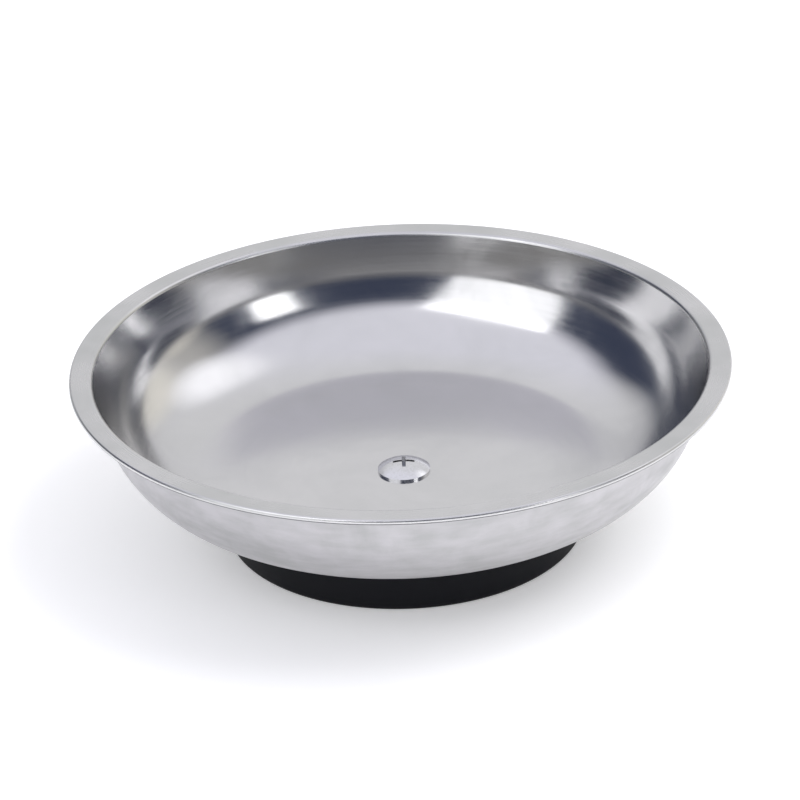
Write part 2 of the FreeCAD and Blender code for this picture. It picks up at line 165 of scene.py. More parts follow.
class TrayFastenerSizes(bpy.types.PropertyGroup):
    """Sizes of the screw, the nut and the two washers."""

    thread: length("Thread", 2.45 * MM, "Outside radius of the screw's thread")
    core: length("Core", 2.05 * MM, "Radius at the bottom of the thread")
    pitch: length("Pitch", 0.8 * MM, "Rise of the thread in one turn")
    head_height: length("Head height", 2.4 * MM, "Height of the screw's head")
    head_edge: length("Head edge", 0.5 * MM, "Straight edge of the screw's head")
    recess_span: length("Recess span", 5.2 * MM, "Cross recess, tip to tip")
    recess_width: length("Recess width", 1.1 * MM, "Width of the cross recess's slots")
    recess_depth: length("Recess depth", 1.7 * MM, "Depth of the cross recess")
    recess_taper: angle("Recess taper", 8, "Slope of the cross recess's sides")
    bore: length("Washer bore", 2.65 * MM, "Radius of the hole in the washers")
    slit: length("Slit", 0.8 * MM, "Gap in the spring washer")
    slit_lean: share("Slit lean", 0.6, "How far the slit leans sideways for its height")
    nut_bore: length("Nut bore", 2.5 * MM, "Radius of the nut's bore")
    corner_cut: length("Corner cut", 0.69 * MM, "How low the nut's turned corners reach")
    edge: length("Broken edges", 0.12 * MM, "Round on small edges")
    around: count("Steps round", 96, "Faces in one turn round a fastener")


class TrayFinishes(bpy.types.PropertyGroup):
    """Colours and gloss of the tray's materials."""

    steel: colour("Stainless", 0.66, 0.655, 0.66, "Stainless sheet")
    steel_shade: colour("Stainless shade", 0.56, 0.565, 0.56, "Duller patches of the stainless sheet")
    satin: colour("Satin", 0.555, 0.545, 0.56, "The satin outside of the dish")
    satin_shade: colour("Satin shade", 0.468, 0.468, 0.47, "Duller patches of the satin outside")
    # The hem colour is painted shade: a dark steel that stands in for the shadow in the gap under the
    # curled lip.
    hem: colour("Hem", 0.2, 0.2, 0.21, "Unpolished steel down in the curled hem")
    inside_gloss: share("Inside", 0.15, "Roughness of the polished inside")
    lip_gloss: share("Lip", 0.27, "Roughness of the lip")
    outside_gloss: share("Outside", 0.42, "Roughness of the satin outside")
    rubber: colour("Rubber", 0.0055, 0.006, 0.0085, "Black rubber")
    rubber_dust: colour("Rubber dust", 0.013, 0.0135, 0.016, "Dust and bloom on the rubber")
    zinc: colour("Zinc", 0.56, 0.57, 0.59, "Zinc-plated steel")
    bright: colour("Bright steel", 0.70, 0.70, 0.715, "Nickel-plated screw")
    ferrite: colour("Ferrite", 0.045, 0.045, 0.05, "Ferrite magnet")
    foam: colour("Foam", 0.025, 0.025, 0.027, "Black foam")


class TrayStage(bpy.types.PropertyGroup):
    """The camera and the light."""

    distance: length("Camera distance", 1.05, "From the middle of the lip to the camera")
    elevation: angle("Camera elevation", 26.5, "Height of the camera above level")
    roll: angle("Camera roll", 2.2, "How far the camera is rolled")
    lens: bpy.props.FloatProperty(name="Lens", default=208.8, min=1.0,
                                  description="Focal length in millimetres")
    aim: bpy.props.FloatVectorProperty(name="Aim", size=3, default=(-0.00032, 0.0, -0.00958),
                                       unit="LENGTH", subtype="TRANSLATION",
                                       description="Where the camera looks, from the middle of the lip")
    floor: length("Floor", 6.0, "Width of the floor")
    floor_paint: colour("Floor paint", 0.88, 0.88, 0.88, "The plain floor")
    floor_glow: level("Floor glow", 0.29, "Light that the floor gives of itself")
    room: colour("Room", 0.05, 0.062, 0.105, "The dim room all round")
    near_wall: colour("Near wall", 0.25, 0.245, 0.24, "What lies level with the tray")
    side_wall: colour("Side wall", 0.56, 0.55, 0.53, "Grey wall on the right")
    side_sill: colour("Side sill", 0.85, 0.82, 0.75, "Warm strip on the right, level with the tray")
    left_screen: colour("Left screen", 0.75, 0.75, 0.77, "Pale screen behind and to the left")
    ceiling: colour("Ceiling", 0.95, 0.95, 1.04, "The wide soft light overhead")
    backdrop: colour("Backdrop", 0.88, 0.88, 0.9, "The pale backdrop behind the tray")
    warm_screen: colour("Warm screen", 1.0, 0.97, 0.9, "Warm screen low on the right")
    high_screen: colour("High screen", 1.45, 1.45, 1.5, "Bright screen high on the right")
    left_key: level("Left softbox", 1.5, "Brightness of the softbox on the left")
    right_key: level("Right softbox", 2.6, "Brightness of the softbox on the right")
    floor_fill: level("Floor light", 3.3, "Brightness of the light that shows in no reflection")


# ---------------------------------------------------------------- modelling by hand

def start(piece_name, make, scale=(1, 1, 1), **where):
    """Deselects everything, adds a primitive at its size and place, and names it."""
    if bpy.context.object is not None and bpy.context.object.mode != "OBJECT":
        bpy.ops.object.mode_set(mode="OBJECT")
    bpy.ops.object.select_all(action="DESELECT")
    make(**where)
    piece = bpy.context.object
    piece.name = piece_name
    piece.data.name = piece_name
    piece.scale = scale
    bpy.ops.object.transform_apply(location=True, rotation=True, scale=True)
    bpy.ops.object.mode_set(mode="EDIT")
    bpy.ops.mesh.select_mode(type="VERT")
    return piece


def pick(piece, wanted):
    """Selects the vertices whose place passes a test, with the edges and faces between them."""
    bpy.ops.object.mode_set(mode="OBJECT")
    for vertex in piece.data.vertices:
        vertex.select = wanted(vertex.co)
    for part in (*piece.data.edges, *piece.data.polygons):
        part.select = all(piece.data.vertices[i].select for i in part.vertices)
    bpy.ops.object.mode_set(mode="EDIT")


def from_axis(place):
    """Distance of a place from the Z axis."""
    return math.hypot(place.x, place.y)


def extrude(x=0.0, y=0.0, z=0.0):
    """Extrudes what is selected by a step."""
    bpy.ops.mesh.extrude_region_move(TRANSFORM_OT_translate={"value": (x, y, z)})


def spin_section(centre_x, centre_z, turn, steps):
    """Spins the selected end of a section in the XZ plane. A positive turn bends it upwards."""
    bpy.ops.mesh.spin(steps=steps, angle=abs(turn), center=(centre_x, 0, centre_z),
                      axis=(0, math.copysign(1, turn), 0))


def tidy_solid():
    """Merges doubles and turns every face outwards, in edit mode."""
    bpy.ops.mesh.select_all(action="SELECT")
    bpy.ops.mesh.remove_doubles(threshold=TOUCHING)
    bpy.ops.mesh.normals_make_consistent(inside=False)


def turn_rings(piece_name, outline, around, closed=True):
    """Draws an outline of (radius, height) points as rings, each extruded from the last.

    A closed outline ends on its first ring. An open one is a solid round the axis: its last ring is
    drawn together to a point and its first is filled.
    """
    radius, height = outline[0]
    piece = start(piece_name, bpy.ops.mesh.primitive_circle_add, vertices=around, radius=radius,
                  location=(0, 0, height), fill_type="NOTHING")
    bpy.ops.mesh.select_all(action="SELECT")
    for next_radius, next_height in (*outline[1:], *outline[:closed]):
        extrude(z=next_height - height)
        grow = next_radius / radius
        bpy.ops.transform.resize(value=(grow, grow, 1), center_override=(0, 0, next_height))
        radius, height = next_radius, next_height
    if not closed:
        bpy.ops.mesh.merge(type="CENTER")
        first_height = outline[0][1]
        pick(piece, lambda place: abs(place.z - first_height) < TOUCHING)
        bpy.ops.mesh.edge_face_add()
    tidy_solid()
    return piece


def round_rings(piece, rings, radius, segments):
    """Rounds the rings at some (radius, height) places. On a square corner the round has that radius."""
    def on_ring(place):
        return any(abs(from_axis(place) - ring) < NEAR and abs(place.z - height) < NEAR
                   for ring, height in rings)
    pick(piece, on_ring)
    bpy.ops.mesh.select_mode(type="EDGE")
    bpy.ops.mesh.bevel(offset_type="OFFSET", offset=radius, segments=segments, profile=0.5,
                       affect="EDGES", clamp_overlap=True)
    bpy.ops.mesh.select_mode(type="VERT")


def modify(piece, kind, **settings):
    """Adds a modifier and applies it, in object mode."""
    bpy.ops.object.mode_set(mode="OBJECT")
    modifier = piece.modifiers.new(kind.title(), kind)
    for name, value in settings.items():
        setattr(modifier, name, value)
    bpy.context.view_layer.objects.active = piece
    bpy.ops.object.modifier_apply(modifier=modifier.name)


def cut(piece, tool, operation="DIFFERENCE"):
    """Cuts a piece with another mesh, and removes the tool."""
    modify(piece, "BOOLEAN", operation=operation, object=tool, solver="EXACT")
    mesh = tool.data
    bpy.data.objects.remove(tool)
    bpy.data.meshes.remove(mesh)


def finish_piece(piece, node, materials, smooth=35.0):
    """Leaves edit mode, shades the piece, gives it its materials and stands it for its CAD node."""
    if bpy.context.object is not None and bpy.context.object.mode != "OBJECT":
        bpy.ops.object.mode_set(mode="OBJECT")
    bpy.ops.object.select_all(action="DESELECT")
    piece.select_set(True)
    bpy.context.view_layer.objects.active = piece
    bpy.ops.object.shade_smooth_by_angle(angle=math.radians(smooth), keep_sharp_edges=False)
    for material in materials:
        piece.data.materials.append(material)
    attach(piece, BODY)
    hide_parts(node)


# ---------------------------------------------------------------- materials

def add(tree, kind, inputs=None, **settings):
    """Adds a shader node. An input that is a socket is joined, and any other sets the value."""
    made = tree.nodes.new("ShaderNode" + kind)
    for name, value in settings.items():
        setattr(made, name, value)
    for name, value in (inputs or {}).items():
        if isinstance(value, bpy.types.NodeSocket):
            tree.links.new(value, made.inputs[name])
        else:
            made.inputs[name].default_value = value
    return made


def maths(tree, operation, first, second=0.0, clamp=False):
    """A Math node's result."""
    return add(tree, "Math", {0: first, 1: second}, operation=operation, use_clamp=clamp).outputs[0]


def ramp(tree, value, low, high, to_low=0.0, to_high=1.0):
    """Maps a value from one range to another, held at both ends."""
    inputs = {"Value": value, "From Min": low, "From Max": high, "To Min": to_low, "To Max": to_high}
    return add(tree, "MapRange", inputs).outputs["Result"]


def noise(tree, place, scale, detail=3.0, rough=0.5, distortion=0.0):
    """A noise pattern's value at a place."""
    inputs = {"Vector": place, "Scale": scale, "Detail": detail, "Roughness": rough,
              "Distortion": distortion}
    return add(tree, "TexNoise", inputs).outputs["Fac"]


def blend(tree, factor, first, second):
    """A mix of two colours."""
    mix = add(tree, "Mix", {0: factor, 6: first, 7: second}, data_type="RGBA")
    return mix.outputs[2]


def opaque(paint):
    """A colour with full alpha."""
    return (*paint, 1.0)


def new_material(name, metallic, roughness):
    """A material, its node tree and its shader, with the plain values on the shader's own sockets."""
    material = bpy.data.materials.new(name)
    material.use_nodes = True
    tree = material.node_tree
    shader = next(n for n in tree.nodes if n.type == "BSDF_PRINCIPLED")
    shader.inputs["Metallic"].default_value = metallic
    shader.inputs["Roughness"].default_value = roughness
    return material, tree, shader


def wire(tree, shader, socket, value):
    """Joins a pattern to one of the shader's sockets."""
    tree.links.new(value, shader.inputs[socket])


def bump(tree, shader, height, depth, strength=1.0):
    """Raises the surface by a pattern, depth metres from its lowest to its highest."""
    made = add(tree, "Bump", {"Strength": strength, "Distance": depth, "Height": height})
    wire(tree, shader, "Normal", made.outputs["Normal"])


def object_place(tree):
    """The place on the piece, in metres."""
    return add(tree, "TexCoord").outputs["Object"]


def round_place(tree, across, along):
    """A place that runs fast across the rings of a turned piece and slowly along them."""
    split = add(tree, "SeparateXYZ", {"Vector": object_place(tree)})
    flat = add(tree, "CombineXYZ", {"X": split.outputs["X"], "Y": split.outputs["Y"]}).outputs[0]
    radius = add(tree, "VectorMath", {0: flat}, operation="LENGTH").outputs["Value"]
    outward = add(tree, "VectorMath", {0: flat}, operation="NORMALIZE").outputs["Vector"]
    slow = add(tree, "VectorMath", {0: outward, "Scale": along}, operation="SCALE").outputs["Vector"]
    fast = maths(tree, "MULTIPLY", maths(tree, "ADD", radius, split.outputs["Z"]), across)
    rise = add(tree, "CombineXYZ", {"Z": fast}).outputs[0]
    return add(tree, "VectorMath", {0: slow, 1: rise}, operation="ADD").outputs["Vector"]


def round_tangent(tree, shader):
    """Turns the shader's stretched gloss round the Z axis, as lathe marks do."""
    wire(tree, shader, "Tangent", add(tree, "Tangent", direction_type="RADIAL", axis="Z").outputs[0])


def polished_steel(finishes):
    """Stainless inside the dish: near a mirror, with faint polishing rings and handling smears."""
    gloss = finishes.inside_gloss
    material, tree, shader = new_material("polished_stainless", metallic=1.0, roughness=gloss)
    place = object_place(tree)
    rings = noise(tree, round_place(tree, across=2600, along=2.5), scale=1.0, detail=4)
    smears = noise(tree, place, scale=38, detail=4, rough=0.6, distortion=0.6)
    wire(tree, shader, "Base Color", blend(tree, ramp(tree, smears, 0.35, 0.75, 0.0, 0.5),
                                           opaque(finishes.steel), opaque(finishes.steel_shade)))
    dull = maths(tree, "ADD", ramp(tree, rings, 0.3, 0.7, -0.025, 0.025),
                 ramp(tree, smears, 0.35, 0.7, -0.02, 0.07))
    wire(tree, shader, "Roughness", maths(tree, "ADD", dull, gloss, clamp=True))
    bump(tree, shader, rings, depth=0.003 * MM, strength=0.5)
    shader.inputs["Anisotropic"].default_value = 0.35
    round_tangent(tree, shader)
    return material


def brushed_lip_steel(finishes):
    """Stainless of the lip and its bend: satin, with fine rings."""
    gloss = finishes.lip_gloss
    material, tree, shader = new_material("brushed_stainless_lip", metallic=1.0, roughness=gloss)
    rings = noise(tree, round_place(tree, across=3800, along=3.0), scale=1.0, detail=4)
    patches = noise(tree, object_place(tree), scale=60, detail=3)
    wire(tree, shader, "Base Color", blend(tree, ramp(tree, patches, 0.3, 0.7),
                                           opaque(finishes.steel), opaque(finishes.steel_shade)))
    dull = maths(tree, "ADD", ramp(tree, rings, 0.3, 0.7, -0.02, 0.02),
                 ramp(tree, patches, 0.3, 0.7, -0.03, 0.05))
    wire(tree, shader, "Roughness", maths(tree, "ADD", dull, gloss, clamp=True))
    bump(tree, shader, rings, depth=0.0012 * MM, strength=0.5)
    shader.inputs["Anisotropic"].default_value = 0.4
    round_tangent(tree, shader)
    return material


def satin_steel(finishes):
    """Stainless outside the dish: satin, streaked round the wall and blotched by pressing."""
    gloss = finishes.outside_gloss
    material, tree, shader = new_material("satin_stainless_outside", metallic=1.0, roughness=gloss)
    place = object_place(tree)
    streaks = noise(tree, round_place(tree, across=330, along=7), scale=1.0, detail=6, rough=0.55)
    blotches = noise(tree, place, scale=95, detail=5, rough=0.6, distortion=0.8)
    mixed = maths(tree, "MULTIPLY", maths(tree, "ADD", streaks, blotches), 0.5)
    wire(tree, shader, "Base Color", blend(tree, ramp(tree, mixed, 0.38, 0.64),
                                           opaque(finishes.satin), opaque(finishes.satin_shade)))
    dull = ramp(tree, mixed, 0.35, 0.65, -0.06, 0.08)
    wire(tree, shader, "Roughness", maths(tree, "ADD", dull, gloss, clamp=True))
    bump(tree, shader, mixed, depth=0.03 * MM, strength=0.6)
    shader.inputs["Anisotropic"].default_value = 0.25
    round_tangent(tree, shader)
    return material


def painted_hem_shade(finishes):
    """Painted shade for the steel down in the curled hem: a dull, dark steel that stands in for the
    shadow in the gap under the lip.
    """
    material, tree, shader = new_material("stainless_hem_painted_shade", metallic=1.0, roughness=0.5)
    hem_shade_mottle = noise(tree, object_place(tree), scale=240, detail=4, rough=0.6)
    darker = tuple(0.7 * part for part in finishes.hem)
    wire(tree, shader, "Base Color", blend(tree, ramp(tree, hem_shade_mottle, 0.35, 0.65),
                                           opaque(finishes.hem), opaque(darker)))
    wire(tree, shader, "Roughness", ramp(tree, hem_shade_mottle, 0.3, 0.7, 0.42, 0.6))
    bump(tree, shader, hem_shade_mottle, depth=0.01 * MM, strength=0.5)
    return material


def black_rubber(finishes):
    """Moulded rubber: a fine even grain and a little grey bloom."""
    material, tree, shader = new_material("black_rubber", metallic=0.0, roughness=0.5)
    place = object_place(tree)
    grain = noise(tree, place, scale=3600, detail=2)
    bloom = noise(tree, place, scale=55, detail=5, rough=0.65)
    wire(tree, shader, "Base Color", blend(tree, ramp(tree, bloom, 0.5, 0.8, 0.0, 0.55),
                                           opaque(finishes.rubber), opaque(finishes.rubber_dust)))
    wire(tree, shader, "Roughness", ramp(tree, bloom, 0.35, 0.7, 0.42, 0.6))
    bump(tree, shader, grain, depth=0.02 * MM, strength=0.5)
    shader.inputs["Specular IOR Level"].default_value = 0.13
    return material


def zinc_steel(finishes):
    """Bright zinc plating: bluish, faintly clouded, with fine rolling marks."""
    material, tree, shader = new_material("zinc_plated_steel", metallic=1.0, roughness=0.3)
    place = object_place(tree)
    clouds = noise(tree, place, scale=260, detail=4, rough=0.6)
    grain = noise(tree, place, scale=5200, detail=2)
    dull = blend(tree, 0.35, opaque(finishes.zinc), opaque(finishes.steel_shade))
    wire(tree, shader, "Base Color", blend(tree, ramp(tree, clouds, 0.35, 0.7),
                                           opaque(finishes.zinc), dull))
    wire(tree, shader, "Roughness", ramp(tree, clouds, 0.3, 0.7, 0.22, 0.4))
    bump(tree, shader, grain, depth=0.004 * MM, strength=0.5)
    return material


def bright_steel(finishes):
    """Nickel plating of the screw: glossy, with tumbling marks."""
    material, tree, shader = new_material("bright_nickel_steel", metallic=1.0, roughness=0.16)
    place = object_place(tree)
    marks = noise(tree, place, scale=900, detail=4, rough=0.65, distortion=1.0)
    wire(tree, shader, "Base Color", blend(tree, ramp(tree, marks, 0.45, 0.8, 0.0, 0.6),
                                           opaque(finishes.bright), opaque(finishes.steel_shade)))
    wire(tree, shader, "Roughness", ramp(tree, marks, 0.3, 0.75, 0.11, 0.26))
    bump(tree, shader, marks, depth=0.005 * MM, strength=0.5)
    return material


def grey_ferrite(finishes):
    """Pressed ferrite: dark grey, with a fine grain."""
    material, tree, shader = new_material("grey_ferrite", metallic=0.0, roughness=0.55)
    place = object_place(tree)
    grain = noise(tree, place, scale=1500, detail=5, rough=0.7)
    darker = tuple(0.55 * part for part in finishes.ferrite)
    wire(tree, shader, "Base Color", blend(tree, ramp(tree, grain, 0.4, 0.65),
                                           opaque(darker), opaque(finishes.ferrite)))
    wire(tree, shader, "Roughness", ramp(tree, grain, 0.35, 0.7, 0.42, 0.68))
    bump(tree, shader, grain, depth=0.02 * MM, strength=0.6)
    return material


def black_foam(finishes):
    """Closed-cell foam: matt, full of small cells."""
    material, tree, shader = new_material("black_foam", metallic=0.0, roughness=0.9)
    cells = add(tree, "TexVoronoi", {"Vector": object_place(tree), "Scale": 2200.0}).outputs["Distance"]
    lighter = tuple(1.9 * part for part in finishes.foam)
    wire(tree, shader, "Base Color", blend(tree, ramp(tree, cells, 0.1, 0.7),
                                           opaque(finishes.foam), opaque(lighter)))
    bump(tree, shader, cells, depth=0.08 * MM, strength=0.8)
    return material


# ---------------------------------------------------------------- the pieces

class TRAY_OT_dish(bpy.types.Operator):
    """Model the pressed dish: the sheet's section is drawn, then spun round the Z axis"""

    bl_idname = "tray.dish"
    bl_label = "Pressed dish"

    def execute(self, context):
        sizes, finishes = context.scene.tray_dish, context.scene.tray_finishes
        low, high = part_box("dish")
        thick, slope = sizes.sheet, sizes.wall_slope
        middle = low.z + thick / 2
        dish = start("pressed_dish", bpy.ops.mesh.primitive_plane_add, size=1,
                     location=((sizes.hole + sizes.floor) / 2, 0, middle), rotation=(math.pi / 2, 0, 0),
                     scale=(sizes.floor - sizes.hole, thick, 1))
        pick(dish, lambda place: place.x > sizes.floor - TOUCHING)
        spin_section(sizes.floor, low.z + sizes.wall_round, slope, sizes.wall_steps)

        bend_level = high.z - thick - sizes.lip_bend
        rise = (bend_level + sizes.lip_bend * math.cos(slope)
                - low.z - sizes.wall_round * (1 - math.cos(slope)))
        run = rise / math.tan(slope)
        extrude(x=run, z=rise)
        wall_top = sizes.floor + sizes.wall_round * math.sin(slope) + run
        bend_centre = wall_top + sizes.lip_bend * math.sin(slope)
        spin_section(bend_centre, bend_level, -slope, sizes.bend_steps)
        curl_centre = high.x - sizes.curl
        extrude(x=curl_centre - bend_centre)
        spin_section(curl_centre, high.z - sizes.curl, -math.pi, sizes.curl_steps)
        extrude(x=-sizes.curl_return)

        bpy.ops.mesh.select_all(action="SELECT")
        bpy.ops.mesh.region_to_loop()
        bpy.ops.mesh.select_mode(type="EDGE")
        bpy.ops.mesh.select_all(action="INVERT")
        bpy.ops.mesh.delete(type="EDGE")
        bpy.ops.mesh.select_all(action="SELECT")
        bpy.ops.mesh.spin(steps=sizes.around, angle=FULL_TURN, center=(0, 0, 0), axis=(0, 0, 1))
        tidy_solid()
        finish_piece(dish, "dish",
                     [polished_steel(finishes), satin_steel(finishes), brushed_lip_steel(finishes),
                      painted_hem_shade(finishes)])
        bend_start = bend_centre - sizes.lip_bend - thick
        lip_start = bend_centre - 0.2 * sizes.lip_bend
        lip_bottom = high.z - 4 * sizes.curl
        floor_slope, painted_shade_slope = 0.1, -0.35
        for face in dish.data.polygons:
            centre, outward = face.center, face.normal
            inward = outward.z > floor_slope or outward.x * centre.x + outward.y * centre.y < 0
            if centre.z > lip_bottom and from_axis(centre) > (bend_start if inward else lip_start):
                # Downward faces of the curl take the hem material: painted shade for the shadow in the
                # gap under the lip.
                face.material_index = HEM_SHADE if outward.z < painted_shade_slope else LIP
            else:
                face.material_index = INSIDE if inward else OUTSIDE
        return {"FINISHED"}


class TRAY_OT_boot(bpy.types.Operator):
    """Model the rubber boot: a turned cup with a lip over the magnet and grooves underneath"""

    bl_idname = "tray.boot"
    bl_label = "Rubber boot"

    def execute(self, context):
        sizes, finishes = context.scene.tray_boot, context.scene.tray_finishes
        low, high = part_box("rubber_boot")
        outside, top, bottom = high.x, high.z, low.z
        inside, mouth = outside - sizes.wall, outside - sizes.wall - sizes.lip
        lip_under, seat = top - sizes.lip_height, bottom + sizes.base
        outline = [(sizes.access, bottom)]
        groove_edges = []
        for number in range(sizes.groove_count):
            middle = sizes.groove_first + number * sizes.groove_pitch
            near, far = middle - sizes.groove_width / 2, middle + sizes.groove_width / 2
            deep = bottom + sizes.groove_depth
            outline += [(near, bottom), (near, deep), (far, deep), (far, bottom)]
            groove_edges += [(near, bottom), (far, bottom), (near, deep), (far, deep)]
        outline += [(outside, bottom), (outside, top), (mouth, top), (mouth, lip_under),
                    (inside, lip_under), (inside, seat), (sizes.access, seat)]
        boot = turn_rings("boot", outline, sizes.around)
        round_rings(boot, [(outside, bottom)], sizes.bottom_round, segments=8)
        small_rings = [(outside, top), (sizes.access, bottom), (mouth, top)]
        round_rings(boot, small_rings, sizes.small_round, segments=4)
        round_rings(boot, groove_edges, sizes.groove_round, segments=3)
        finish_piece(boot, "rubber_boot", [black_rubber(finishes)])
        return {"FINISHED"}


def square_ring(piece_name, node, bore, edge, edge_steps, around):
    """A flat ring round the Z axis, as wide and high as its CAD node, with broken edges."""
    low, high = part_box(node)
    corners = [(bore, low.z), (high.x, low.z), (high.x, high.z), (bore, high.z)]
    ring = turn_rings(piece_name, corners, around)
    round_rings(ring, corners, edge, edge_steps)
    return ring


class TRAY_OT_magnet(bpy.types.Operator):
    """Model the ring magnet and the foam pad on it"""

    bl_idname = "tray.magnet"
    bl_label = "Ring magnet and foam pad"

    def execute(self, context):
        sizes, finishes = context.scene.tray_magnet, context.scene.tray_finishes
        for node, piece_name, slot, finish, bore, edge, edge_steps in (
                ("magnet_ring", "ferrite_ring", "ferrite", grey_ferrite, sizes.bore, sizes.chamfer, 1),
                ("foam_pad", "foam_ring", "black_foam", black_foam, sizes.pad_bore, sizes.edge, 3)):
            ring = square_ring(piece_name, node, bore, edge, edge_steps, sizes.around)
            finish_piece(ring, node, [finish(finishes)])
        return {"FINISHED"}


class TRAY_OT_plate(bpy.types.Operator):
    """Model the pressed keeper plate with its raised middle"""

    bl_idname = "tray.plate"
    bl_label = "Keeper plate"

    def execute(self, context):
        sizes, finishes = context.scene.tray_magnet, context.scene.tray_finishes
        hole = context.scene.tray_dish.hole
        low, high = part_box("keeper_plate")
        gauge, base, top = sizes.gauge, sizes.boss_base, sizes.boss_top
        outer_bends = [(base, low.z + gauge), (top, high.z)]
        inner_bends = [(base - gauge, low.z), (top - gauge, high.z - gauge)]
        plate = turn_rings("pressed_plate", [
            (hole, high.z - gauge), inner_bends[1], inner_bends[0], (high.x, low.z),
            (high.x, low.z + gauge), outer_bends[0], outer_bends[1], (hole, high.z)], sizes.around)
        round_rings(plate, outer_bends, sizes.boss_bend, segments=8)
        round_rings(plate, inner_bends, sizes.boss_bend - gauge, segments=5)
        round_rings(plate, [(high.x, low.z), (high.x, low.z + gauge)], sizes.edge, segments=2)
        finish_piece(plate, "keeper_plate", [zinc_steel(finishes)])
        return {"FINISHED"}


def thread_ridge(sizes, low, high):
    """A helical ridge with closed ends: a triangle, nearly a pitch wide, swept round the shank."""
    corner, turn_steps = 0.53 * sizes.pitch, 48
    ridge = start("thread_ridge", bpy.ops.mesh.primitive_circle_add, vertices=3, radius=corner,
                  location=(sizes.thread - corner, 0, low), rotation=(math.pi / 2, math.pi / 2, 0),
                  fill_type="NOTHING")
    turns = int((high - low) / sizes.pitch)
    modify(ridge, "SCREW", axis="Z", angle=FULL_TURN, screw_offset=sizes.pitch, iterations=turns,
           steps=turn_steps, render_steps=turn_steps)
    bpy.ops.object.mode_set(mode="EDIT")
    bpy.ops.mesh.select_all(action="SELECT")
    bpy.ops.mesh.fill_holes(sides=3)
    tidy_solid()
    bpy.ops.object.mode_set(mode="OBJECT")
    return ridge


def recess_block(sizes, top, quarter_turn):
    """One tapered slot of the cross recess, as a block to cut with."""
    depth = sizes.recess_depth
    narrow = depth * math.tan(sizes.recess_taper)
    block = start("recess_block", bpy.ops.mesh.primitive_cube_add, size=1,
                  location=(0, 0, top), rotation=(0, 0, quarter_turn),
                  scale=(sizes.recess_span, sizes.recess_width, 2 * depth))
    pick(block, lambda place: place.z < top)
    along, across = 1 - 2 * narrow / sizes.recess_span, 1 - 2 * narrow / sizes.recess_width
    if quarter_turn:
        along, across = across, along
    bpy.ops.transform.resize(value=(along, across, 1), center_override=(0, 0, top))
    bpy.ops.object.mode_set(mode="OBJECT")
    return block


class TRAY_OT_screw(bpy.types.Operator):
    """Model the truss-head screw: domed head with a cross recess, threaded shank"""

    bl_idname = "tray.screw"
    bl_label = "Centre screw"

    def execute(self, context):
        sizes, finishes = context.scene.tray_fasteners, context.scene.tray_finishes
        low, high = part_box("centre_screw")
        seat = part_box("dish")[0].z + context.scene.tray_dish.sheet
        reach, dome = high.x, sizes.head_height - sizes.head_edge
        ball = (reach ** 2 + dome ** 2) / (2 * dome)
        ball_centre = seat + sizes.head_height - ball
        first = math.asin((ball - dome) / ball)
        dome_rings, core, tip = 14, sizes.core, sizes.pitch / 2
        outline = [(core - tip, low.z), (core, low.z + tip), (core, seat), (reach, seat)]
        for number in range(dome_rings):
            lean = first + (math.pi / 2 - first) * number / dome_rings
            outline.append((ball * math.cos(lean), ball_centre + ball * math.sin(lean)))
        screw = turn_rings("truss_screw", outline, sizes.around, closed=False)
        bpy.ops.object.mode_set(mode="OBJECT")
        top = seat + sizes.head_height
        cut(screw, recess_block(sizes, top, 0))
        cut(screw, recess_block(sizes, top, math.pi / 2))
        cut(screw, thread_ridge(sizes, low.z + tip, seat - sizes.pitch), "UNION")
        bpy.ops.object.mode_set(mode="EDIT")
        tidy_solid()
        finish_piece(screw, "centre_screw", [bright_steel(finishes)])
        return {"FINISHED"}


class TRAY_OT_nut_and_washers(bpy.types.Operator):
    """Model the hexagon nut, the spring washer and the flat washer under the dish"""

    bl_idname = "tray.nut_and_washers"
    bl_label = "Nut and washers"

    def execute(self, context):
        sizes, finishes = context.scene.tray_fasteners, context.scene.tray_finishes
        plating = zinc_steel(finishes)

        washer = square_ring("plain_washer", "flat_washer", sizes.bore, sizes.edge, 2, sizes.around)
        finish_piece(washer, "flat_washer", [plating])

        low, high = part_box("spring_washer")
        spring = square_ring("split_washer", "spring_washer", sizes.bore, sizes.edge, 2, sizes.around)
        reach = 1.5 * (high.z - low.z)
        lean = reach * sizes.slit_lean
        blade = start("slit_blade", bpy.ops.mesh.primitive_cube_add, size=1,
                      location=(0, -high.x, (low.z + high.z) / 2),
                      scale=(sizes.slit, 2 * high.x, 2 * reach))
        pick(blade, lambda place: place.z > high.z)
        bpy.ops.transform.translate(value=(lean, 0, 0))
        pick(blade, lambda place: place.z < low.z)
        bpy.ops.transform.translate(value=(-lean, 0, 0))
        cut(spring, blade)
        finish_piece(spring, "spring_washer", [plating])

        low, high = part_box("hex_nut")
        beyond = high.x + sizes.corner_cut
        lead = 2 * sizes.edge
        form = turn_rings("nut_form", [
            (sizes.nut_bore + lead, low.z), (high.y, low.z), (beyond, low.z + sizes.corner_cut),
            (beyond, high.z - sizes.corner_cut), (high.y, high.z), (sizes.nut_bore + lead, high.z),
            (sizes.nut_bore, high.z - lead), (sizes.nut_bore, low.z + lead)], sizes.around)
        nut = start("nut", bpy.ops.mesh.primitive_cylinder_add, vertices=6, radius=high.x,
                    depth=high.z - low.z, location=(0, 0, (low.z + high.z) / 2),
                    rotation=(0, 0, math.pi / 2))
        cut(nut, form, "INTERSECT")
        finish_piece(nut, "hex_nut", [plating], smooth=20)
        return {"FINISHED"}


# ---------------------------------------------------------------- the stage

def toward(azimuth, elevation):
    """The direction at an azimuth, in degrees rightwards from the camera's side, and an elevation."""
    side, up = math.radians(azimuth), math.radians(elevation)
    return Vector((math.sin(side) * math.cos(up), -math.cos(side) * math.cos(up), math.sin(up)))


